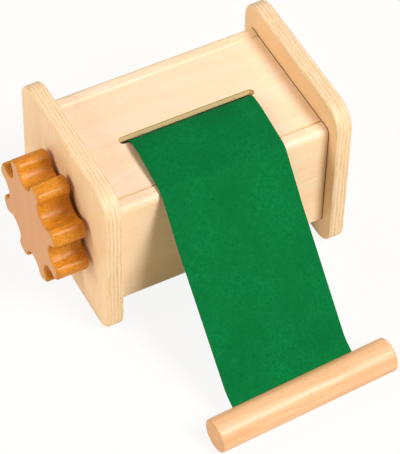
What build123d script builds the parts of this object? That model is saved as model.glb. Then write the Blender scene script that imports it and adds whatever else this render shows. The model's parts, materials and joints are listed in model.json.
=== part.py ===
from build123d import *
from math import acos, atan2, cos, hypot, pi, radians, sin, tan
import os

# Ribbon winder: a plywood box on two end panels, a scalloped knob on its left that turns a
# roller inside, and a cloth ribbon that leaves the box by a slot and ends in a dowel handle.
# X runs along the roller (knob at -X), Y from front (-) to back (+), Z up.
# The origin lies on the table, under the middle of the box.

# ---- Driving dimensions, in millimetres and degrees ----

# End panels
panel_thick = 12.0
panel_depth = 129.6
panel_height = 133.4
panel_top_corner = 17.4
panel_foot_corner = 16.0
panel_round_over = 1.8

# Box between the end panels, which stand out past it at the front, the back and the top
box_length = 158.0
box_floor = 20.0
panel_ledge = 10.3
panel_rise = 20.6
board_thick = 10.7
board_foot_round = 3.0
board_seam_chamfer = 0.4
deck_thick = 6.0
deck_drop = 0.5
strip_height = 4.2
strip_outer_round = 4.0
strip_inner_round = 2.6
housing_depth = 3.0
housing_clearance = 0.35

# Slot in the top panel
slot_length = 101.5
slot_width = 6.6
slot_shift_x = 0.75
slot_shift_y = 0.2
slot_edge_round = 0.5

# Glued dowels that join the boards to the end panels
peg_diameter = 6.0
peg_length = 20.0
peg_in_panel = 6.5
peg_edge_distance = 18.0
peg_end_space = 0.5

# Roller, its journals and bushes
roller_diameter = 24.0
journal_diameter = 14.0
journal_clearance = 0.05
bush_wall = 2.0
bush_flange_width = 4.0
left_flange_thick = 2.4
right_flange_thick = 1.2
thrust_washer_thick = 1.2
end_play = 0.4
blind_hole_floor = 3.0
turned_chamfer = 0.8

# Knob
knob_radius = 45.0
knob_valley_radius = 31.8
knob_scallop_radius = 9.2
knob_lobe_corner = 4.6
knob_lobes = 8
knob_lobe_turn = 16.4
knob_thick = 24.0
knob_round_over = 1.9
knob_bore_depth = 16.0

# Handle
handle_diameter = 24.0
handle_length = 135.5
handle_centre_x = -2.2
handle_centre_y = -173.9
handle_turn = 2.86
handle_end_round = 1.5

# Ribbon
ribbon_thick = 0.7
ribbon_width = 92.0
ribbon_slot_x = 1.4
ribbon_handle_x = -4.6
ribbon_clearance = 0.3
ribbon_turns = 3
ribbon_twist = 1.2
ribbon_bend_below = 3.0
ribbon_slot_gap = 1.15
ribbon_edge_below = 1.2
ribbon_lip_reach = 3.8
ribbon_lip_rise = 4.0
ribbon_crest_reach = 17.35
ribbon_crest_rise = 5.2
ribbon_over_strip = 1.7
ribbon_strip_reach = 0.2
ribbon_seam_reach = 9.5
ribbon_slope_reach = 28.1
ribbon_slope_drop = 27.8
ribbon_foot_reach = 10.3
ribbon_foot_rise = 3.2
ribbon_entry_angle = 31.0
ribbon_inner_bend = 12.0
ribbon_edge_bend = 4.0
ribbon_lip_bend = 10.0
ribbon_crest_bend = 30.0
ribbon_strip_bend = 10.0
ribbon_slope_bend = 60.0
ribbon_foot_bend = 14.0
ribbon_mouth_bend = 4.0
kerf_width = 1.5
kerf_depth = 8.0
kerf_end_space = 1.5
kerf_tail = 4.5

# ---- Places worked out from the driving dimensions ----

inner_x = box_length / 2
outer_x = inner_x + panel_thick
housing_x = inner_x + housing_depth
box_depth = panel_depth - 2 * panel_ledge
box_front = -box_depth / 2
board_inner = box_depth / 2 - board_thick
box_top = panel_height - panel_rise
strip_seam = box_top - strip_height
deck_top = box_top - deck_drop
axis_z = (box_floor + box_top) / 2
roller_radius = roller_diameter / 2
journal_radius = journal_diameter / 2
bush_bore_radius = journal_radius + journal_clearance
bush_radius = bush_bore_radius + bush_wall
flange_radius = bush_radius + bush_flange_width
wound_radius = roller_radius + ribbon_turns * ribbon_thick
knob_back = -outer_x - left_flange_thick - end_play
knob_front = knob_back - knob_thick
roller_left = -inner_x + thrust_washer_thick + end_play
roller_right = inner_x - right_flange_thick - end_play
bush_hole_depth = panel_thick - blind_hole_floor
handle_radius = handle_diameter / 2
peg_radius = peg_diameter / 2
over_strip = (box_front + ribbon_strip_reach, box_top + ribbon_over_strip)
slope_change = (box_front - ribbon_slope_reach, box_top - ribbon_slope_drop)


def cylinder_x(radius, start_x, end_x, centre_y=0.0, centre_z=axis_z):
    """A round bar along X between two places."""
    disc = Plane.YZ.offset(start_x) * Pos(centre_y, centre_z) * Circle(radius)
    return extrude(disc, end_x - start_x)


def bar_x(section, start_x, end_x):
    """A board or strip: its YZ section run along X."""
    return extrude(Plane.YZ.offset(start_x) * section, end_x - start_x)


def rectangle_between(low_y, high_y, low_z, high_z):
    """A rectangle in the YZ section, from its lowest to its highest corner."""
    centre = Pos((low_y + high_y) / 2, (low_z + high_z) / 2)
    return centre * Rectangle(high_y - low_y, high_z - low_z)


def mirrored(section):
    """The same section on the back side of the box."""
    return mirror(section, Plane.YZ)


# ---- Sections of the box's boards, seen along X ----

def board_section():
    """Front board: rounded at its foot, with a hair chamfer at the seam under the strip."""
    board = rectangle_between(box_front, -board_inner, box_floor, strip_seam)
    outer = board.vertices().group_by(Axis.X)[0]
    board = fillet(outer.sort_by(Axis.Y)[0], board_foot_round)
    seam = board.vertices().group_by(Axis.X)[0].sort_by(Axis.Y)[-1]
    return chamfer(seam, board_seam_chamfer)


def strip_section():
    """Solid wood edge strip on the front board: a large outer and a small inner rounding."""
    strip = rectangle_between(box_front, -board_inner, strip_seam, box_top)
    strip = fillet(strip.vertices().group_by(Axis.Y)[-1].sort_by(Axis.X)[0], strip_outer_round)
    top_inner = strip.vertices().group_by(Axis.Y)[-1].sort_by(Axis.X)[-1]
    return fillet(top_inner, strip_inner_round)


def top_section():
    return rectangle_between(-board_inner, board_inner, deck_top - deck_thick, deck_top)


def bottom_section():
    return rectangle_between(-board_inner, board_inner, box_floor, box_floor + deck_thick)


def box_sections():
    front = [board_section(), strip_section()]
    return front + [mirrored(part) for part in front] + [top_section(), bottom_section()]


def peg_places():
    """Centres of the four pegs at each end, as (y, z)."""
    middle = (box_depth - board_thick) / 2
    heights = (box_floor + peg_edge_distance, strip_seam - peg_edge_distance)
    return [(side * middle, height) for side in (-1, 1) for height in heights]


def peg(side, start_x, end_x):
    """One round bar for each peg place at the left (-1) or right (1) end."""
    low, high = sorted((side * start_x, side * end_x))
    return [cylinder_x(peg_radius, low, high, y, z) for y, z in peg_places()]


# ---- Casing ----

def end_panel(side):
    """Upright panel with rounded corners and a shallow housing that takes the box's boards."""
    outline = rectangle_between(-panel_depth / 2, panel_depth / 2, 0, panel_height)
    outline = fillet(outline.vertices().group_by(Axis.Y)[-1], panel_top_corner)
    outline = fillet(outline.vertices().group_by(Axis.Y)[0], panel_foot_corner)
    low, high = sorted((side * inner_x, side * outer_x))
    panel = bar_x(outline, low, high)
    rims = panel.faces().sort_by(Axis.X)[0].edges() + panel.faces().sort_by(Axis.X)[-1].edges()
    panel = fillet(rims, panel_round_over)
    low, high = sorted((side * inner_x, side * housing_x))
    for section in box_sections():
        panel -= bar_x(offset(section, housing_clearance, kind=Kind.INTERSECTION), low, high)
    for hole in peg(side, housing_x, housing_x + peg_in_panel + peg_end_space):
        panel -= hole
    if side < 0:
        return panel - cylinder_x(bush_radius, -outer_x, -inner_x)
    return panel - cylinder_x(bush_radius, inner_x, inner_x + bush_hole_depth)


def box_board(section):
    """Front or back board, with the peg holes in both ends."""
    board = bar_x(section, -housing_x, housing_x)
    in_board = peg_length - peg_in_panel + peg_end_space
    for side in (-1, 1):
        for hole in peg(side, housing_x - in_board, housing_x):
            board -= hole
    return board


def pegs(side):
    far = housing_x + peg_in_panel
    return Compound(children=peg(side, far - peg_length, far))


def top_panel():
    """Deck between the strips, with the long slot that the ribbon leaves by."""
    deck = bar_x(top_section(), -housing_x, housing_x)
    slot = Pos(slot_shift_x, slot_shift_y, deck_top) * SlotOverall(slot_length, slot_width)
    deck -= extrude(slot, -deck_thick)
    rims = [
        edge
        for edge in deck.faces().sort_by(Axis.Z)[-1].edges()
        if abs(edge.center().X) < housing_x - slot_width and abs(edge.center().Y) < slot_width
    ]
    return fillet(rims, slot_edge_round)


def bottom_panel():
    return bar_x(bottom_section(), -housing_x, housing_x)


# ---- Roller and its bearings ----

def left_bush():
    """Flanged bush through the left panel; its flange keeps the knob off the panel."""
    flange = cylinder_x(flange_radius, -outer_x - left_flange_thick, -outer_x)
    sleeve = cylinder_x(bush_radius, -outer_x, -inner_x)
    bore = cylinder_x(bush_bore_radius, -outer_x - left_flange_thick, -inner_x)
    return flange + sleeve - bore


def right_bush():
    """Flanged bush in the blind hole of the right panel; its flange faces the roller."""
    flange = cylinder_x(flange_radius, inner_x - right_flange_thick, inner_x)
    sleeve = cylinder_x(bush_radius, inner_x, inner_x + bush_hole_depth)
    bore = cylinder_x(bush_bore_radius, inner_x - right_flange_thick, inner_x + bush_hole_depth)
    return flange + sleeve - bore


def thrust_washer():
    """Washer on the left journal, between the panel and the roller's shoulder."""
    ring = cylinder_x(flange_radius, -inner_x, -inner_x + thrust_washer_thick)
    return ring - cylinder_x(bush_bore_radius, -inner_x, -inner_x + thrust_washer_thick)


def kerf_cut(length):
    """A saw cut along X; laid with its middle on the rim, it cuts kerf_depth deep along Y."""
    return Box(length, kerf_depth * 2, kerf_width)


def roller():
    """Turned roller: journals at both ends and a saw cut that grips the ribbon's inner end."""
    body = cylinder_x(roller_radius, roller_left, roller_right)
    shoulders = body.edges().filter_by(GeomType.CIRCLE)
    body = chamfer(shoulders, turned_chamfer)
    right_end = inner_x + bush_hole_depth - end_play
    journal = cylinder_x(journal_radius, knob_back - knob_bore_depth, right_end)
    body += journal
    cut = Pos(ribbon_slot_x, roller_radius, axis_z) * kerf_cut(ribbon_width + 2 * kerf_end_space)
    return body - cut


# ---- Knob ----

def turned(radius, angle):
    """A point in the YZ section at a radius and an angle from +Y towards +Z."""
    return Vector(radius * cos(angle), radius * sin(angle))


def arc_about(centre, radius, start, end):
    """An arc about a centre from one angle to another, the short way round."""
    sweep_angle = (end - start + pi) % (2 * pi) - pi
    ends = [centre + turned(radius, start + share * sweep_angle) for share in (0, 0.5, 1)]
    return ThreePointArc(*ends)


def knob_outline():
    """Lobes on the outer circle, joined by round scallops, every corner rounded."""
    scallop_centre = knob_valley_radius + knob_scallop_radius
    corner_centre = knob_radius - knob_lobe_corner
    reach = knob_scallop_radius + knob_lobe_corner
    spread = acos(
        (corner_centre**2 + scallop_centre**2 - reach**2) / (2 * corner_centre * scallop_centre)
    )
    sector = 2 * pi / knob_lobes
    middle = Vector(0, 0)
    edges = []
    for index in range(knob_lobes):
        lobe = radians(knob_lobe_turn) + index * sector
        valley = lobe + sector / 2
        before = turned(corner_centre, valley - spread)
        after = turned(corner_centre, valley + spread)
        scallop = turned(scallop_centre, valley)
        into = scallop - before
        out = scallop - after
        into_angle = atan2(into.Y, into.X)
        out_angle = atan2(out.Y, out.X)
        half_lobe = sector / 2 - spread
        edges += [
            arc_about(middle, knob_radius, lobe - half_lobe, lobe + half_lobe),
            arc_about(before, knob_lobe_corner, valley - spread, into_angle),
            arc_about(scallop, knob_scallop_radius, into_angle + pi, out_angle + pi),
            arc_about(after, knob_lobe_corner, out_angle, valley + spread),
        ]
    return make_face(edges)


def knob():
    """Scalloped hand knob with a blind bore for the roller's journal."""
    blank = bar_x(Pos(0, axis_z) * knob_outline(), knob_front, knob_back)
    rims = blank.faces().sort_by(Axis.X)[0].edges() + blank.faces().sort_by(Axis.X)[-1].edges()
    blank = fillet(rims, knob_round_over)
    return blank - cylinder_x(journal_radius, knob_back - knob_bore_depth, knob_back)


# ---- Handle ----

def handle_place():
    return Pos(handle_centre_x, handle_centre_y, handle_radius) * Rot(0, 0, handle_turn)


def handle():
    """Dowel handle, with a saw cut along its back that grips the ribbon's outer end."""
    dowel = Rot(0, 90, 0) * Cylinder(handle_radius, handle_length)
    dowel = fillet(dowel.edges().filter_by(GeomType.CIRCLE), handle_end_round)
    cut = Pos(ribbon_handle_x - handle_centre_x, 0, 0) * Rot(ribbon_entry_angle, 0, 0)
    cut *= Pos(0, handle_radius, 0) * kerf_cut(ribbon_width + 2 * kerf_end_space)
    return handle_place() * (dowel - cut)


# ---- Ribbon ----

def ribbon_line(side):
    """Middle line of the ribbon at its left (-1) or right (1) edge, as (y, z) corners and radii."""
    lift = -side * ribbon_twist / 2
    half = ribbon_thick / 2
    slot_front = slot_shift_y - slot_width / 2
    pass_y = slot_front + ribbon_slot_gap + half
    bend_z = deck_top - deck_thick - ribbon_bend_below
    # Tangent from the slot to the wound turns, on their front side
    reach = wound_radius + ribbon_clearance + half
    rise = bend_z - axis_z
    span = hypot(pass_y, rise)
    angle = atan2(rise, pass_y) + acos(reach / span)
    leave = (reach * cos(angle), axis_z + reach * sin(angle))
    # Entry into the handle's saw cut, on the handle's own line
    edge_x = ribbon_handle_x + side * ribbon_width / 2
    handle_y = handle_centre_y + (edge_x - handle_centre_x) * tan(radians(handle_turn))
    entry = radians(ribbon_entry_angle)
    mouth = (handle_y + handle_radius * cos(entry), handle_radius * (1 + sin(entry)))
    tail = (mouth[0] - kerf_tail * cos(entry), mouth[1] - kerf_tail * sin(entry))
    corners = [
        (leave, 0),
        ((pass_y, bend_z), ribbon_inner_bend),
        ((pass_y, deck_top - ribbon_edge_below), ribbon_edge_bend),
        ((pass_y - ribbon_lip_reach, deck_top + ribbon_lip_rise + lift), ribbon_lip_bend),
        ((pass_y - ribbon_crest_reach, deck_top + ribbon_crest_rise + lift), ribbon_crest_bend),
        ((over_strip[0], over_strip[1] + lift / 2), ribbon_strip_bend),
        ((slope_change[0], slope_change[1] + lift / 3), ribbon_slope_bend),
        ((mouth[0] + ribbon_foot_reach, mouth[1] + ribbon_foot_rise), ribbon_foot_bend),
        (mouth, ribbon_mouth_bend),
        (tail, 0),
    ]
    return corners


def beside(corners, amount):
    """The line moved sideways by an amount, with its radii changed to suit."""
    points = [Vector(*point) for point, _ in corners]
    ways = [(after - before).normalized() for before, after in zip(points, points[1:])]
    moved, radii = [], []
    for index, (point, radius) in enumerate(zip(points, [radius for _, radius in corners])):
        before = ways[max(index - 1, 0)]
        after = ways[min(index, len(ways) - 1)]
        left_before = Vector(-before.Y, before.X)
        left_after = Vector(-after.Y, after.X)
        scale = amount / (1 + left_before.dot(left_after))
        moved.append(point + (left_before + left_after) * scale)
        turn = before.X * after.Y - before.Y * after.X
        radii.append(radius - amount if turn > 0 else radius + amount)
    return moved, radii[1:-1]


def ribbon_edge_face(side):
    """Closed section of the ribbon at one edge, in the upright plane that its edge follows."""
    corners = ribbon_line(side)
    upper, upper_radii = beside(corners, ribbon_thick / 2)
    lower, lower_radii = beside(corners, -ribbon_thick / 2)
    top = FilletPolyline(*upper, radius=upper_radii)
    foot = FilletPolyline(*lower, radius=lower_radii)
    face = make_face([top, foot, Line(upper[0], lower[0]), Line(upper[-1], lower[-1])])
    mouth_y = corners[-2][0][0]
    drift = (ribbon_handle_x - ribbon_slot_x) / mouth_y
    start = Vector(ribbon_slot_x + side * ribbon_width / 2, 0, 0)
    return Plane(origin=start, x_dir=(drift, 1, 0), z_dir=(1, -drift, 0)) * face


def pull_direction():
    """Unit vector along which the hanging ribbon draws the handle up."""
    mouth = [ribbon_line(side)[-2][0] for side in (-1, 1)]
    low = Vector(ribbon_handle_x, (mouth[0][0] + mouth[1][0]) / 2, mouth[0][1])
    return (seam_point() - low).normalized()


def seam_point():
    """Where the ribbon that lies on the box ends and the hanging stretch begins."""
    seam_y = box_front - ribbon_seam_reach
    share = (seam_y - over_strip[0]) / (slope_change[0] - over_strip[0])
    height = over_strip[1] + share * (slope_change[1] - over_strip[1])
    across = seam_y / handle_centre_y
    drift = ribbon_slot_x + across * (ribbon_handle_x - ribbon_slot_x)
    return Vector(drift, seam_y, height)


def ribbon_parts():
    """The ribbon outside the roller: the stretch on the box and the stretch that hangs."""
    whole = loft([ribbon_edge_face(-1), ribbon_edge_face(1)], ruled=True)
    seam = Plane(origin=seam_point(), z_dir=pull_direction())
    return split(whole, seam, Keep.TOP), split(whole, seam, Keep.BOTTOM)


def wound_ribbon():
    """The turns left on the roller, with the tail that the roller's saw cut grips."""
    low = ribbon_slot_x - ribbon_width / 2
    sleeve = cylinder_x(wound_radius, low, low + ribbon_width)
    sleeve -= cylinder_x(roller_radius, low, low + ribbon_width)
    tail = Box(ribbon_width, kerf_tail + ribbon_thick, ribbon_thick)
    middle_y = roller_radius - (kerf_tail - ribbon_thick) / 2
    return sleeve + Pos(ribbon_slot_x, middle_y, axis_z) * tail


# ---- Build ----

ribbon_on_box, ribbon_hanging = ribbon_parts()

nodes = {
    "left_end_panel": end_panel(-1),
    "right_end_panel": end_panel(1),
    "front_board": box_board(board_section()),
    "back_board": box_board(mirrored(board_section())),
    "front_edge_strip": bar_x(strip_section(), -housing_x, housing_x),
    "back_edge_strip": bar_x(mirrored(strip_section()), -housing_x, housing_x),
    "top_panel": top_panel(),
    "bottom_panel": bottom_panel(),
    "left_pegs": pegs(-1),
    "right_pegs": pegs(1),
    "left_bush": left_bush(),
    "right_bush": right_bush(),
    "thrust_washer": thrust_washer(),
    "roller": roller(),
    "knob": knob(),
    "wound_ribbon": wound_ribbon(),
    "ribbon_on_box": ribbon_on_box,
    "ribbon_hanging": ribbon_hanging,
    "handle": handle(),
}

os.makedirs("parts", exist_ok=True)
for name, shape in nodes.items():
    export_step(shape, f"parts/{name}.step")

pull = pull_direction()
seam = seam_point()
print(f"seam point {seam.X:.3f} {seam.Y:.3f} {seam.Z:.3f}")
print(f"pull direction {pull.X:.5f} {pull.Y:.5f} {pull.Z:.5f}")
print(f"roller axis height {axis_z:.3f}, winding radius {wound_radius - ribbon_thick / 2:.3f}")
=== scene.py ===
import json
import math

import bpy
from mathutils import Matrix, Vector


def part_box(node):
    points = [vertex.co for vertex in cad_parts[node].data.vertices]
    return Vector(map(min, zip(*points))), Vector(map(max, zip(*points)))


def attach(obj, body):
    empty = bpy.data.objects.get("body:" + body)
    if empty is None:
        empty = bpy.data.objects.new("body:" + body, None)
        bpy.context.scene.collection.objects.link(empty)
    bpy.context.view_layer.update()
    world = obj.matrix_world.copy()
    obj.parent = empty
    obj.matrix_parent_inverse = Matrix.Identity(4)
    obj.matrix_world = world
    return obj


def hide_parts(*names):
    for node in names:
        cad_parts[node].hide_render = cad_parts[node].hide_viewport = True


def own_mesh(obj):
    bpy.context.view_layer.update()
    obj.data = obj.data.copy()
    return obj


# A wooden ribbon winder: birch plywood box and end panels, honey-stained beech knob, green cotton
# ribbon and a beech dowel handle. Metres; X along the roller, Y to the back, Z up.

MM = 0.001

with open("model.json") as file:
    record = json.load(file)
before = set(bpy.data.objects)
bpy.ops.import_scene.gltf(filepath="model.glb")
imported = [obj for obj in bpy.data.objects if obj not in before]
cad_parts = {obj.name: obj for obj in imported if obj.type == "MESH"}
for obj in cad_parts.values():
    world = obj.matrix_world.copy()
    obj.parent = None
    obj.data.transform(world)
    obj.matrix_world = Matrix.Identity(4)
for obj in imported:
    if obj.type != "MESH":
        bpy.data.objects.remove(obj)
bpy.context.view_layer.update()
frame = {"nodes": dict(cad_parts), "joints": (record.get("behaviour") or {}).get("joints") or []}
nodes = frame["nodes"]


# ---- Sizes read from the frame ----

def low(name):
    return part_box(name)[0]


def high(name):
    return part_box(name)[1]


PANEL_INNER_X = low("right_end_panel").x
PANEL_THICK = high("right_end_panel").x - PANEL_INNER_X
BOX_FRONT_Y = low("front_board").y
STRIP_TOP_Z = high("front_edge_strip").z
DECK_TOP_Z = high("top_panel").z
DECK_THICK = DECK_TOP_Z - low("top_panel").z
ROLLER_Z = (low("wound_ribbon").z + high("wound_ribbon").z) / 2
WOUND_RADIUS = (high("wound_ribbon").z - low("wound_ribbon").z) / 2
HANDLE_RADIUS = high("handle").z / 2
pull_joint = next(joint for joint in frame["joints"] if joint["name"] == "handle_pull")
PULL = Vector(pull_joint["axis"]).normalized()


# ---- Colour and shader helpers ----

MATH = "ShaderNodeMath"
MIX = "ShaderNodeMix"
RANGE = "ShaderNodeMapRange"


def hex_colour(text):
    """An sRGB hex colour as linear red, green, blue, alpha."""
    parts = [int(text[start:start + 2], 16) / 255 for start in (0, 2, 4)]
    linear = [p / 12.92 if p <= 0.04045 else ((p + 0.055) / 1.055) ** 2.4 for p in parts]
    return (*linear, 1.0)


def add(tree, kind, inputs=None, output=0, **settings):
    """Adds one shader node with its settings and returns one of its outputs. inputs gives its
    sockets by name or number: another node's output, a value, or a colour by its hex."""
    made = tree.nodes.new(kind)
    for name, value in settings.items():
        setattr(made, name, value)
    for name, value in (inputs or {}).items():
        if isinstance(value, bpy.types.NodeSocket):
            tree.links.new(value, made.inputs[name])
        else:
            made.inputs[name].default_value = hex_colour(value) if isinstance(value, str) else value
    return made.outputs[output]


def new_material(name):
    """A material with only its output; returns it, its tree and its surface input."""
    made = bpy.data.materials.new(name)
    made.use_nodes = True
    made.node_tree.nodes.clear()
    output = made.node_tree.nodes.new("ShaderNodeOutputMaterial")
    return made, made.node_tree, output.inputs["Surface"]


def grain(tree, place, lengths, detail=3.0, distortion=0.0):
    """Streaked noise whose patches measure lengths (x, y, z) in millimetres."""
    scale = tuple(1 / (length * MM) for length in lengths)
    mapped = add(tree, "ShaderNodeMapping", {"Vector": place, "Scale": scale})
    inputs = {"Vector": mapped, "Scale": 1.0, "Detail": detail, "Roughness": 0.55}
    return add(tree, "ShaderNodeTexNoise", {**inputs, "Distortion": distortion}, "Fac")


def unsigned(tree, vector, axis):
    """One part of a vector, "X", "Y" or "Z", without its sign."""
    part = add(tree, "ShaderNodeSeparateXYZ", {0: vector}, axis)
    return add(tree, MATH, {0: part}, operation="ABSOLUTE")


def layered(tree, colour, layers):
    """Lays colours over a first one. Each layer is the pattern that shows it, the pattern's value
    where it starts and where it is full, its share there, and its colour."""
    for pattern, start, full, share, over in layers:
        shown = add(tree, RANGE, {0: pattern, 1: start, 2: full, 3: 0.0, 4: share})
        colour = add(tree, MIX, {0: shown, 6: colour, 7: over}, 2, data_type="RGBA")
    return colour


def surfaced(tree, surface, colour, relief, depth, strength, values):
    """Ends a material: its colour, the relief that is felt on it, how deep and how strong that
    relief is, and the shader's other values."""
    bump = {"Height": relief, "Distance": depth, "Strength": strength}
    inputs = {"Base Color": colour, "Normal": add(tree, "ShaderNodeBump", bump), **values}
    tree.links.new(add(tree, "ShaderNodeBsdfPrincipled", inputs), surface)


# ---- Wood ----

# Clear lacquer leaves the grain just felt through it, and over birch dries to a satin sheen
LACQUERED_GRAIN = 0.15 * MM
SATIN = {"Roughness": 0.4, "Specular IOR Level": 0.13}
# The growth lines are contours of a broad noise: this many radians of a sine over its height
GROWTH_WAVES = 95.0
# Width of the painted shade line where a board meets its end panel
JOINT_SHADE_WIDTH = 0.7 * MM


def veneer_colour(tree, place, along, pale, warm, fleck, lines=0.34):
    """Rotary-cut birch face: faint long bands, thin growth lines that wander like contours,
    and short dark pores that follow the grain. along is the axis the grain runs on: 0, 1 or 2."""
    def lengths(long, cross):
        return tuple(long if axis == along else cross for axis in range(3))

    bands = grain(tree, place, lengths(170.0, 16.0), detail=2.0, distortion=0.5)
    height = grain(tree, place, lengths(150.0, 26.0), detail=1.0, distortion=0.3)
    contours = add(tree, MATH, {0: height, 1: GROWTH_WAVES}, operation="MULTIPLY")
    growth = add(tree, MATH, {0: contours}, operation="SINE")
    fine = grain(tree, place, lengths(30.0, 1.1))
    pores = grain(tree, place, lengths(6.0, 0.5), detail=1.0)
    layers = [
        (bands, 0.35, 0.7, 0.6, warm),
        (growth, 0.55, 1.0, lines, warm),
        (fine, 0.45, 0.8, 0.4, warm),
        (pores, 0.67, 0.8, 0.5, fleck),
    ]
    if along == 0:
        # Painted shade: the thin dark line that the hairline gap shows where a board's end meets
        # its end panel
        near, at = PANEL_INNER_X - JOINT_SHADE_WIDTH, PANEL_INNER_X - JOINT_SHADE_WIDTH / 2
        layers.append((unsigned(tree, place, "X"), near, at, 0.8, "6E4A1C"))
    return layered(tree, pale, layers), pores


def birch_board(name, along):
    """Birch-faced board, lacquered: pale cream with faint wandering grain, smooth and warm."""
    made, tree, surface = new_material(name)
    place = add(tree, "ShaderNodeTexCoord", output="Object")
    colour, pores = veneer_colour(tree, place, along, "FDE1C2", "F6CFA2", "D9A36A")
    surfaced(tree, surface, colour, pores, LACQUERED_GRAIN, 0.2, SATIN)
    return made


FACE_VENEER = 1.1 * MM
GLUE_LINE = 0.3 * MM


def birch_deck():
    """Top panel, lacquered birch ply: its face like the boards, and in the slot's wall the face
    veneer's edge, a brown glue line under it and a streaky tan core."""
    made, tree, surface = new_material("birch_ply_deck_lacquered")
    place = add(tree, "ShaderNodeTexCoord", output="Object")
    face, pores = veneer_colour(tree, place, 0, "FDE1C7", "F6D2A9", "D9A36A", lines=0.12)
    level = add(tree, "ShaderNodeSeparateXYZ", {0: place}, "Z")
    depth = add(tree, MATH, {0: DECK_TOP_Z, 1: level}, operation="SUBTRACT")
    streaks = grain(tree, place, (9.0, 2.0, 0.5), detail=2.0)
    core = layered(tree, "FFE4AC", [(streaks, 0.35, 0.7, 1.0, "FFD393")])
    wall = layered(tree, "FFDFAC", [
        (depth, FACE_VENEER, FACE_VENEER + GLUE_LINE / 3, 1.0, "A06A30"),
        (depth, FACE_VENEER + GLUE_LINE, FACE_VENEER + GLUE_LINE * 1.5, 1.0, core),
    ])
    normal = add(tree, "ShaderNodeTexCoord", output="Normal")
    colour = layered(tree, face, [(unsigned(tree, normal, "Z"), 0.7, 0.3, 1.0, wall)])
    surfaced(tree, surface, colour, pores, LACQUERED_GRAIN, 0.2, SATIN)
    return made


def birch_strip():
    """Solid birch edge strip, lacquered: a little yellower, with a straight grain along it."""
    made, tree, surface = new_material("birch_strip_lacquered")
    place = add(tree, "ShaderNodeTexCoord", output="Object")
    colour, pores = veneer_colour(tree, place, 0, "FDE4CC", "F3CFA4", "CF9A5F")
    values = {**SATIN, "Roughness": 0.36}
    surfaced(tree, surface, colour, pores, LACQUERED_GRAIN, 0.25, values)
    return made


PLIES = 9
PLY_WANDER = 0.9 * MM


def ply_depth(tree, place):
    """How far a place lies into an end panel, counted in plies, which wander a little."""
    wander = grain(tree, place, (300.0, 24.0, 24.0), detail=2.0)
    centred = {0: wander, 1: PLY_WANDER, 2: -PLY_WANDER / 2}
    shift = add(tree, MATH, centred, operation="MULTIPLY_ADD")
    depth = add(tree, MATH, {0: unsigned(tree, place, "X"), 1: shift}, operation="ADD")
    outer = PANEL_INNER_X + PANEL_THICK
    return add(tree, RANGE, {0: depth, 1: PANEL_INNER_X, 2: outer, 3: 0.0, 4: float(PLIES)})


def end_grain(tree, ply, normal):
    """1 on the plies that are cut across their grain: every second one, and the others where the
    edge turns from upright to level."""
    halves = add(tree, MATH, {0: ply, 1: 0.5}, operation="MULTIPLY")
    turn = add(tree, MATH, {0: halves}, operation="FRACT")
    rising = add(tree, RANGE, {0: turn, 1: 0.44, 2: 0.56})
    falling = add(tree, RANGE, {0: turn, 1: 1.0, 2: 0.94})
    odd = add(tree, MATH, {0: rising, 1: falling}, operation="MINIMUM")
    even = add(tree, MATH, {0: 1.0, 1: odd}, operation="SUBTRACT")
    level = add(tree, RANGE, {0: unsigned(tree, normal, "Z"), 1: 0.55, 2: 0.85})
    return add(tree, MIX, {0: level, 2: odd, 3: even})


def birch_plywood():
    """Nine-ply birch, lacquered: plain veneer faces, the inner ones warmed by painted shade; on the
    edges, cream plies cut along their grain between tan plies cut across it, which change places
    where the edge turns a corner, with a thin, broken glue line at each joint."""
    made, tree, surface = new_material("birch_plywood_lacquered")
    place = add(tree, "ShaderNodeTexCoord", output="Object")
    normal = add(tree, "ShaderNodeTexCoord", output="Normal")
    ply = ply_depth(tree, place)
    inside = add(tree, MATH, {0: ply}, operation="FRACT")
    outside = add(tree, MATH, {0: 1.0, 1: inside}, operation="SUBTRACT")
    from_joint = add(tree, MATH, {0: inside, 1: outside}, operation="MINIMUM")
    broken = grain(tree, place, (3.0, 5.0, 5.0), detail=2.0)
    glue = add(tree, RANGE, {0: broken, 1: 0.4, 2: 0.65, 3: 0.0, 4: 0.5})
    long_grain = grain(tree, place, (0.4, 15.0, 15.0))
    long_ply = layered(tree, "FBE3C6", [(long_grain, 0.4, 0.7, 1.0, "EDC594")])
    cut_grain = grain(tree, place, (0.35, 1.6, 1.6))
    cut_ply = layered(tree, "F3D1A2", [(cut_grain, 0.35, 0.72, 1.0, "D49C60")])
    uneven = grain(tree, place, (1.2, 16.0, 16.0))
    fade = add(tree, RANGE, {0: uneven, 1: 0.3, 2: 0.7, 3: 0.2, 4: 0.95})
    edges = layered(tree, long_ply, [
        (end_grain(tree, ply, normal), 0.0, 1.0, fade, cut_ply),
        (from_joint, 0.13, 0.02, glue, "BC854C"),
    ])
    face, pores = veneer_colour(tree, place, 2, "FBE0C4", "F2CDA2", "D6A066")
    colour = layered(tree, face, [
        # Painted shade: the inner faces are warmed, as the bounce light inside the box colours them
        (ply, 0.6, 0.4, 0.5, "F9CB92"),
        (unsigned(tree, normal, "X"), 0.985, 0.75, 1.0, edges),
    ])
    surfaced(tree, surface, colour, pores, LACQUERED_GRAIN, 0.2, SATIN)
    return made


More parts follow.
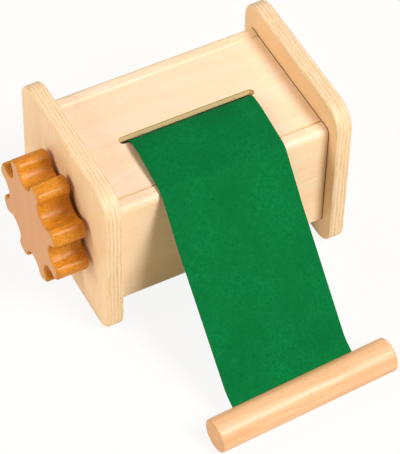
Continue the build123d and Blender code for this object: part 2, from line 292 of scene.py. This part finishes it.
def stained_beech():
    """Beech, honey stained and lacquered: deep orange with fine darker dashes, under a clear
    gloss that pales it where it is seen at a slant."""
    made, tree, surface = new_material("beech_honey_stained")
    place = add(tree, "ShaderNodeTexCoord", output="Object")
    normal = add(tree, "ShaderNodeTexCoord", output="Normal")
    face = add(tree, RANGE, {0: unsigned(tree, normal, "X"), 1: 0.85, 2: 0.97})
    across = unsigned(tree, normal, "Z")
    dashes = grain(tree, place, (0.5, 0.6, 4.0), detail=2.0)
    rays = grain(tree, place, (4.5, 0.5, 0.6), detail=2.0)
    on_end = add(tree, RANGE, {0: across, 1: 0.4, 2: 0.8})
    marks = add(tree, MIX, {0: on_end, 2: dashes, 3: rays})
    strong_marks = add(tree, RANGE, {0: face, 3: 0.9, 4: 0.09})
    bands = grain(tree, place, (7.0, 8.0, 80.0), distortion=0.8)
    colour = layered(tree, "E29A32", [
        (bands, 0.35, 0.68, 1.0, "D68825"),
        # The rim takes more stain where it cuts across the grain
        (across, 0.45, 0.95, 0.25, "BE6F18"),
        (marks, 0.46, 0.72, strong_marks, "9A520C"),
        (face, 0.0, 1.0, 0.6, "D08C48"),
    ])
    values = {
        "Roughness": 0.3,
        "Specular IOR Level": 0.0,
        "Coat Weight": add(tree, RANGE, {0: face, 3: 0.4, 4: 1.0}),
        "Coat Roughness": 0.38,
        "Coat IOR": 1.6,
    }
    surfaced(tree, surface, colour, dashes, LACQUERED_GRAIN, 0.25, values)
    return made


def plain_beech(name, pale, warm, fleck):
    """Beech dowel, sanded and lacquered: peach, with straight grain and small dark flecks."""
    made, tree, surface = new_material(name)
    place = add(tree, "ShaderNodeTexCoord", output="Object")
    normal = add(tree, "ShaderNodeTexCoord", output="Normal")
    bands = grain(tree, place, (90.0, 3.5, 3.5), distortion=0.4)
    dashes = grain(tree, place, (3.6, 0.5, 0.5), detail=1.0)
    pith = grain(tree, place, (9.0, 1.0, 2.2))
    end = layered(tree, warm, [(pith, 0.35, 0.7, 1.0, fleck)])
    colour = layered(tree, pale, [
        (bands, 0.36, 0.68, 1.0, warm),
        (dashes, 0.62, 0.78, 0.6, fleck),
        # The ends, cut across the grain, drink more lacquer and look darker
        (unsigned(tree, normal, "X"), 0.6, 0.9, 0.6, end),
    ])
    values = {
        "Roughness": 0.36,
        "Specular IOR Level": 0.0,
        "Coat Weight": 0.85,
        "Coat Roughness": 0.37,
        "Coat IOR": 1.4,
    }
    surfaced(tree, surface, colour, dashes, LACQUERED_GRAIN, 0.2, values)
    return made


# ---- Plastic ----

TOOL_RINGS = 0.15 * MM


def turned_nylon():
    """Natural nylon, turned: off-white, soft sheen, faint rings of the tool."""
    made, tree, surface = new_material("nylon_natural_turned")
    place = add(tree, "ShaderNodeTexCoord", output="Object")
    marks = grain(tree, place, (0.3, 30.0, 30.0), detail=1.0)
    colour = layered(tree, "ECE9DE", [(marks, 0.0, 1.0, 1.0, "DEDACB")])
    values = {"Roughness": 0.45, "Specular IOR Level": 0.13}
    surfaced(tree, surface, colour, marks, TOOL_RINGS, 0.15, values)
    return made


# ---- Cloth ----

# Real threads are about 0.35 mm apart; they are drawn wider, at the finest that still shows
THREAD = 0.8 * MM
# A wave texture of scale 1 has one band in 0.314 of a unit
WAVE_SCALE = 0.314
WEAVE_DEPTH = 0.12 * MM


def green_cotton():
    """Plain-woven green cotton, matt: fine crossing threads of uneven shade, seen as a soft marl.
    The pattern follows the ribbon by its own UV map, which is in metres."""
    made, tree, surface = new_material("cotton_ribbon_green_woven")
    flat = add(tree, "ShaderNodeUVMap", uv_map="cloth")
    wave = {"Vector": flat, "Scale": WAVE_SCALE / THREAD, "Distortion": 0.8, "Detail": 1.0}
    wave["Detail Scale"] = 2.0
    warp, weft = [
        add(tree, "ShaderNodeTexWave", wave, "Fac", wave_type="BANDS", bands_direction=way)
        for way in ("X", "Y")
    ]
    weave = add(tree, MATH, {0: warp, 1: weft}, operation="MULTIPLY")
    lengthwise = grain(tree, flat, (0.9, 5.0, 1.0), detail=2.0)
    crosswise = grain(tree, flat, (5.0, 0.9, 1.0), detail=2.0)
    marl = add(tree, MATH, {0: lengthwise, 1: crosswise}, operation="ADD")
    cloud = grain(tree, flat, (30.0, 36.0, 1.0), detail=2.0)
    colour = layered(tree, "046932", [
        (marl, 0.75, 1.25, 1.0, "0C8446"),
        (cloud, 0.3, 0.7, 0.8, "066C34"),
        (weave, 0.6, 0.0, 0.3, "045326"),
    ])
    values = {
        "Roughness": 0.9,
        "Specular IOR Level": 0.05,
        "Sheen Weight": 0.02,
        "Sheen Roughness": 0.4,
    }
    surfaced(tree, surface, colour, weave, WEAVE_DEPTH, 0.3, values)
    return made


# ---- The ribbon's course ----

CLOTH_THICK = 0.6 * MM
RIBBON_WIDTH = high("wound_ribbon").x - low("wound_ribbon").x

# It drifts sideways on its way forward: its middle from the slot to the handle's saw cut, at
# Y = DRIFT_REACH
RIBBON_SLOT_X = (high("wound_ribbon").x + low("wound_ribbon").x) / 2
RIBBON_HANDLE_X = -4.6 * MM
DRIFT_REACH = -163.73 * MM

# Round the roller, from its saw cut, and off the outer turn
ROLLER_RADIUS = 12.0 * MM
KERF_TAIL = 4.5 * MM
WOUND_TURNS = 2.563
WOUND_PITCH = 0.62 * MM
STEPS_IN_TURN = 48
WINDING_GAP = 0.65 * MM

# Up through the slot, over its lip and the deck, and over the edge strip
SLOT_PASS_Y = -1.6 * MM
BEND_BELOW_DECK = 3.0 * MM
EDGE_BELOW_TOP = 1.2 * MM
LIP_REACH, LIP_RISE = 3.8 * MM, 4.0 * MM
CREST_REACH, CREST_RISE = 17.35 * MM, 5.2 * MM
STRIP_REACH, STRIP_RISE = 0.2 * MM, 1.7 * MM
# The left edge rides this much above the middle, and the right edge as much below
EDGE_LIFT = 0.6 * MM

# Down to the handle and into its saw cut
SEAM_Y = -64.0 * MM
SLOPE_CHANGE = (-82.6 * MM, 85.0 * MM)
FOOT_REACH, FOOT_RISE = 10.3 * MM, 3.2 * MM
HANDLE_TURN = math.radians(2.86)
ENTRY_ANGLE = math.radians(31.0)
# The stretch above the saw cut that moves with the handle
FOOT_LENGTH = 1.0 * MM

# Radii of its bends, in the order it meets them
BENDS = [bend * MM for bend in (12.0, 4.0, 10.0, 30.0, 10.0, 60.0, 14.0, 4.0)]
LINE_STEP = 0.4 * MM

# Places in the list of corners
STRIP_CORNER, SLOPE_CORNER, MOUTH_CORNER = 5, 6, 8


def ribbon_corners(side):
    """Corners (y, z) and bend radii of the cloth's middle line at its left (-1) or right (1)
    edge."""
    lift = -side * EDGE_LIFT
    bend_z = DECK_TOP_Z - DECK_THICK - BEND_BELOW_DECK
    reach = WOUND_RADIUS + WINDING_GAP
    rise = bend_z - ROLLER_Z
    angle = math.atan2(rise, SLOT_PASS_Y) + math.acos(reach / math.hypot(SLOT_PASS_Y, rise))
    edge_x = RIBBON_HANDLE_X + side * RIBBON_WIDTH / 2
    handle = (low("handle") + high("handle")) / 2
    handle_y = handle.y + (edge_x - handle.x) * math.tan(HANDLE_TURN)
    entry_y, entry_z = math.cos(ENTRY_ANGLE), math.sin(ENTRY_ANGLE)
    mouth = (handle_y + HANDLE_RADIUS * entry_y, HANDLE_RADIUS * (1 + entry_z))
    spots = [
        (reach * math.cos(angle), ROLLER_Z + reach * math.sin(angle)),
        (SLOT_PASS_Y, bend_z),
        (SLOT_PASS_Y, DECK_TOP_Z - EDGE_BELOW_TOP),
        (SLOT_PASS_Y - LIP_REACH, DECK_TOP_Z + LIP_RISE + lift),
        (SLOT_PASS_Y - CREST_REACH, DECK_TOP_Z + CREST_RISE + lift),
        (BOX_FRONT_Y + STRIP_REACH, STRIP_TOP_Z + STRIP_RISE + lift / 2),
        (SLOPE_CHANGE[0], SLOPE_CHANGE[1] + lift / 3),
        (mouth[0] + FOOT_REACH, mouth[1] + FOOT_RISE),
        mouth,
        (mouth[0] - KERF_TAIL * entry_y, mouth[1] - KERF_TAIL * entry_z),
    ]
    return list(zip(spots, [0.0, *BENDS, 0.0]))


def rounded_line(corners):
    """Points along a line whose corners are rounded by arcs, as (y, z) vectors."""
    spots = [Vector(spot) for spot, _ in corners]
    line = [spots[0]]
    for before, spot, after, (_, radius) in zip(spots, spots[1:], spots[2:], corners[1:]):
        into, out = (spot - before).normalized(), (after - spot).normalized()
        bend = abs(into.angle_signed(out))
        side = 1 if into.x * out.y - into.y * out.x > 0 else -1
        start = spot - into * (radius * math.tan(bend / 2))
        centre = start + Vector((-into.y, into.x)) * (side * radius)
        count = max(2, math.ceil(radius * bend / LINE_STEP))
        for index in range(count + 1):
            spoke = start - centre
            spoke.rotate(Matrix.Rotation(side * bend * index / count, 2))
            line.append(centre + spoke)
    line.append(spots[-1])
    return line


def winding_line():
    """The wound cloth's middle line: from the roller's saw cut outward, turn on turn, to the place
    where the ribbon leaves for the slot."""
    first = ROLLER_RADIUS + CLOTH_THICK / 2
    line = [Vector((first - KERF_TAIL, ROLLER_Z))]
    steps = round(WOUND_TURNS * STEPS_IN_TURN)
    for step in range(steps + 1):
        turns = WOUND_TURNS * step / steps
        angle = -math.tau * turns
        radius = first + WOUND_PITCH * turns
        line.append(Vector((radius * math.cos(angle), ROLLER_Z + radius * math.sin(angle))))
    return line


def reaches(line):
    """How far along a line each of its points lies."""
    found = [0.0]
    for before, after in zip(line, line[1:]):
        found.append(found[-1] + (after - before).length)
    return found


def resampled(line, count):
    """The same line as count + 1 points evenly spaced along it, and its length."""
    reach = reaches(line)
    even, index = [], 0
    for step in range(count + 1):
        goal = reach[-1] * step / count
        while index < len(line) - 2 and reach[index + 1] < goal:
            index += 1
        share = (goal - reach[index]) / max(reach[index + 1] - reach[index], 1e-12)
        even.append(line[index].lerp(line[index + 1], share))
    return even, reach[-1]


def square_point(side, spot):
    """A point (y, z) of the wound cloth's edge as a place in the frame; the turns lie square."""
    return Vector((RIBBON_SLOT_X + side * RIBBON_WIDTH / 2, spot.x, spot.y))


def edge_point(side, spot):
    """A point (y, z) of the ribbon's edge past the roller, where it drifts sideways."""
    drift = (RIBBON_HANDLE_X - RIBBON_SLOT_X) / DRIFT_REACH
    return square_point(side, spot) + Vector((drift * spot.x, 0.0, 0.0))


def divided(side, line, seam, drop):
    """Cuts an edge line in two where it lies drop below the seam along the pull, past the box."""
    places = [edge_point(side, spot) for spot in line]
    drops = [(seam - place).dot(PULL) for place in places]
    cut = next(
        index
        for index in range(1, len(places))
        if places[index].y < BOX_FRONT_Y and drops[index - 1] <= drop < drops[index]
    )
    share = (drop - drops[cut - 1]) / (drops[cut] - drops[cut - 1])
    meet = line[cut - 1].lerp(line[cut], share)
    return line[:cut] + [meet], [meet] + line[cut:]


def ribbon_edges():
    """Both edges from the roller to the handle, each cut at the seam plane past the edge strip and
    at the foot plane just above the handle."""
    corners = {side: ribbon_corners(side) for side in (-1, 1)}
    seams, mouths = [], []
    for side in (-1, 1):
        over, change = corners[side][STRIP_CORNER][0], corners[side][SLOPE_CORNER][0]
        share = (SEAM_Y - over[0]) / (change[0] - over[0])
        seams.append(edge_point(side, Vector((SEAM_Y, over[1] + share * (change[1] - over[1])))))
        mouths.append(edge_point(side, Vector(corners[side][MOUTH_CORNER][0])))
    seam = (seams[0] + seams[1]) / 2
    foot_drop = min((seam - mouth).dot(PULL) for mouth in mouths) - FOOT_LENGTH
    parts = {"box": [], "hanging": [], "foot": []}
    for side in (-1, 1):
        on_box, below = divided(side, rounded_line(corners[side]), seam, 0.0)
        hanging, foot = divided(side, below, seam, foot_drop)
        parts["box"].append(on_box)
        parts["hanging"].append(hanging)
        parts["foot"].append(foot)
    return parts, seam, foot_drop


# ---- The ribbon's pieces ----

RIBBON_COLUMNS = 46
BOX_ROWS, HANGING_ROWS, FOOT_ROWS = 150, 160, 24
# The hidden turns are straight across, so they need few columns and close rows
WOUND_COLUMNS = 6
WOUND_ROWS_PER_STEP = 2


def cloth_piece(name, cloth, edges, rows, start, columns=RIBBON_COLUMNS, place_at=edge_point):
    """A grid of cloth between two edge lines, with its flat place in metres as UV; start is how
    far along the ribbon it begins. Returns it and its length."""
    left, left_length = resampled(edges[0], rows)
    right, right_length = resampled(edges[1], rows)
    length = (left_length + right_length) / 2
    bpy.ops.object.select_all(action="DESELECT")
    bpy.ops.mesh.primitive_grid_add(
        x_subdivisions=columns, y_subdivisions=rows, size=2.0, calc_uvs=False
    )
    piece = bpy.context.object
    piece.name = name
    flat = piece.data.uv_layers.new(name="cloth")
    flat_places = []
    for vertex in piece.data.vertices:
        share = (vertex.co.x + 1) / 2
        row = round((1 - vertex.co.y) / 2 * rows)
        flat_places.append((share * RIBBON_WIDTH, start + length * row / rows))
        vertex.co = place_at(-1, left[row]).lerp(place_at(1, right[row]), share)
    for loop in piece.data.loops:
        flat.data[loop.index].uv = flat_places[loop.vertex_index]
    thicken = piece.modifiers.new("cloth_thickness", "SOLIDIFY")
    thicken.thickness = CLOTH_THICK
    thicken.offset = 0.0
    bpy.ops.object.modifier_apply(modifier=thicken.name)
    bpy.ops.object.shade_smooth_by_angle(angle=math.radians(40))
    piece.data.materials.append(cloth)
    return piece, length


def wound_cloth(cloth):
    """The turns left on the roller, hidden in the box."""
    line = winding_line()
    rows = len(line) * WOUND_ROWS_PER_STEP
    start = -reaches(line)[-1]
    wound, length = cloth_piece(
        "ribbon_cloth_wound", cloth, (line, line), rows, start, WOUND_COLUMNS, square_point
    )
    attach(wound, "winder")
    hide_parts("wound_ribbon")


def ribbon(cloth):
    """The ribbon in three pieces: on the box, hanging, and its foot, which moves with the
    handle."""
    parts, seam, foot_drop = ribbon_edges()
    on_box, box_length = cloth_piece("ribbon_cloth_on_box", cloth, parts["box"], BOX_ROWS, 0.0)
    hanging, hanging_length = cloth_piece(
        "ribbon_cloth_hanging", cloth, parts["hanging"], HANGING_ROWS, box_length
    )
    foot, _ = cloth_piece(
        "ribbon_cloth_foot", cloth, parts["foot"], FOOT_ROWS, box_length + hanging_length
    )
    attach(on_box, "case")
    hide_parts("ribbon_on_box")
    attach(hanging, "case")
    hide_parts("ribbon_hanging")
    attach(foot, "pull")
    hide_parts("ribbon_hanging")
    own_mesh(hanging)


# ---- Finishes of the carried-over pieces ----

def finish(material, *names):
    """Gives the named pieces one material in every slot they have."""
    for name in names:
        for place in nodes[name].material_slots:
            place.material = material


def finishes():
    finish(birch_plywood(), "left_end_panel", "right_end_panel")
    finish(birch_board("birch_board_lacquered", 0), "front_board", "back_board", "bottom_panel")
    finish(birch_deck(), "top_panel")
    finish(birch_strip(), "front_edge_strip", "back_edge_strip")
    finish(stained_beech(), "knob")
    finish(plain_beech("beech_dowel_lacquered", "F0C297", "E6AE80", "C48650"), "handle")
    hidden_dowel = plain_beech("beech_dowel_sanded", "E8C79D", "DDB686", "B98D5E")
    finish(hidden_dowel, "roller", "left_pegs", "right_pegs")
    finish(turned_nylon(), "left_bush", "right_bush", "thrust_washer")


# ---- Camera ----

PHOTO_HEIGHT = 454
FOCAL_PIXELS = 2488.65
SENSOR = 36.0
CAMERA_PLACE = Vector((-528.62, -988.72, 1339.23)) * MM
CAMERA_AZIMUTH = math.radians(-28.701)
CAMERA_ELEVATION = math.radians(50.117)
CAMERA_ROLL = math.radians(1.403)


def camera():
    """The camera at the photograph's viewing angle, found from the panel and box edges."""
    data = bpy.data.cameras.new("camera")
    data.sensor_fit = "VERTICAL"
    data.sensor_height = SENSOR
    data.lens = FOCAL_PIXELS * SENSOR / PHOTO_HEIGHT
    data.clip_start, data.clip_end = 0.05, 20.0
    back = Vector((
        math.sin(CAMERA_AZIMUTH) * math.cos(CAMERA_ELEVATION),
        -math.cos(CAMERA_AZIMUTH) * math.cos(CAMERA_ELEVATION),
        math.sin(CAMERA_ELEVATION),
    ))
    level = Vector((math.cos(CAMERA_AZIMUTH), math.sin(CAMERA_AZIMUTH), 0.0))
    right = level * math.cos(CAMERA_ROLL) + back.cross(level) * math.sin(CAMERA_ROLL)
    turned = Matrix((right, back.cross(right), back)).transposed()
    made = bpy.data.objects.new("camera", data)
    made.matrix_world = Matrix.Translation(CAMERA_PLACE) @ turned.to_4x4()
    bpy.context.scene.collection.objects.link(made)
    bpy.context.scene.camera = made


# ---- Light and floor ----

LIGHT_AIM = Vector((0.0, -0.05, 0.06))
# Each soft box: its name, place, size, power in watts and colour
SOFT_BOXES = [
    ("key_light", (0.97, -1.95, 2.54), 1.1, 109.0, "FFFFFF"),
    ("back_light", (-0.6, 1.1, 1.8), 1.0, 9.5, "FFF3DA"),
    ("left_light", (-1.75, 0.05, 1.0), 1.2, 20.0, "FFF5E0"),
]
WORLD_LEVEL = 0.03
FLOOR_SIZE = 14.0
FLOOR_WHITENING = 0.9


def soft_light(name, place, size, power, colour):
    """A square soft box that looks at the winder."""
    data = bpy.data.lights.new(name, "AREA")
    data.shape = "SQUARE"
    data.size = size
    data.energy = power
    data.color = hex_colour(colour)[:3]
    made = bpy.data.objects.new(name, data)
    turned = (LIGHT_AIM - Vector(place)).to_track_quat("-Z", "Y").to_matrix()
    made.matrix_world = Matrix.Translation(place) @ turned.to_4x4()
    bpy.context.scene.collection.objects.link(made)


def seen_directly(tree):
    """1 for what the camera sees, straight or through a gloss, and 0 for light that falls."""
    path = add(tree, "ShaderNodeLightPath").node.outputs
    rays = {0: path["Is Camera Ray"], 1: path["Is Glossy Ray"]}
    seen = add(tree, MATH, rays, operation="MAXIMUM")
    return add(tree, MATH, {0: seen, 1: path["Is Transmission Ray"]}, operation="MAXIMUM")


def studio():
    """White surroundings; a key light from the front, a wide one at the left, a softer one
    behind."""
    world = bpy.data.worlds.new("studio")
    bpy.context.scene.world = world
    world.use_nodes = True
    tree = world.node_tree
    tree.nodes.clear()
    fill = add(tree, "ShaderNodeBackground", {"Color": "FFF3E2", "Strength": WORLD_LEVEL})
    white = add(tree, "ShaderNodeBackground", {"Color": "FFFFFF", "Strength": 1.0})
    both = add(tree, "ShaderNodeMixShader", {0: seen_directly(tree), 1: fill, 2: white})
    output = tree.nodes.new("ShaderNodeOutputWorld")
    tree.links.new(both, output.inputs["Surface"])
    for box in SOFT_BOXES:
        soft_light(*box)


def floor():
    """A plain white table top that keeps a faint shadow."""
    bpy.ops.object.select_all(action="DESELECT")
    bpy.ops.mesh.primitive_plane_add(size=FLOOR_SIZE)
    made = bpy.context.object
    made.name = "floor"
    material, tree, surface = new_material("paper_white_matt")
    paper = add(tree, "ShaderNodeBsdfDiffuse", {"Color": "F4ECD0"})
    glow = add(tree, "ShaderNodeEmission", {"Color": "FFFFFF", "Strength": 1.0})
    shares = {0: seen_directly(tree), 1: FLOOR_WHITENING}
    share = add(tree, MATH, shares, operation="MULTIPLY")
    tree.links.new(add(tree, "ShaderNodeMixShader", {0: share, 1: paper, 2: glow}), surface)
    made.data.materials.append(material)


finishes()
cotton = green_cotton()
wound_cloth(cotton)
ribbon(cotton)
camera()
studio()
floor()
bpy.context.scene.view_settings.view_transform = "Standard"
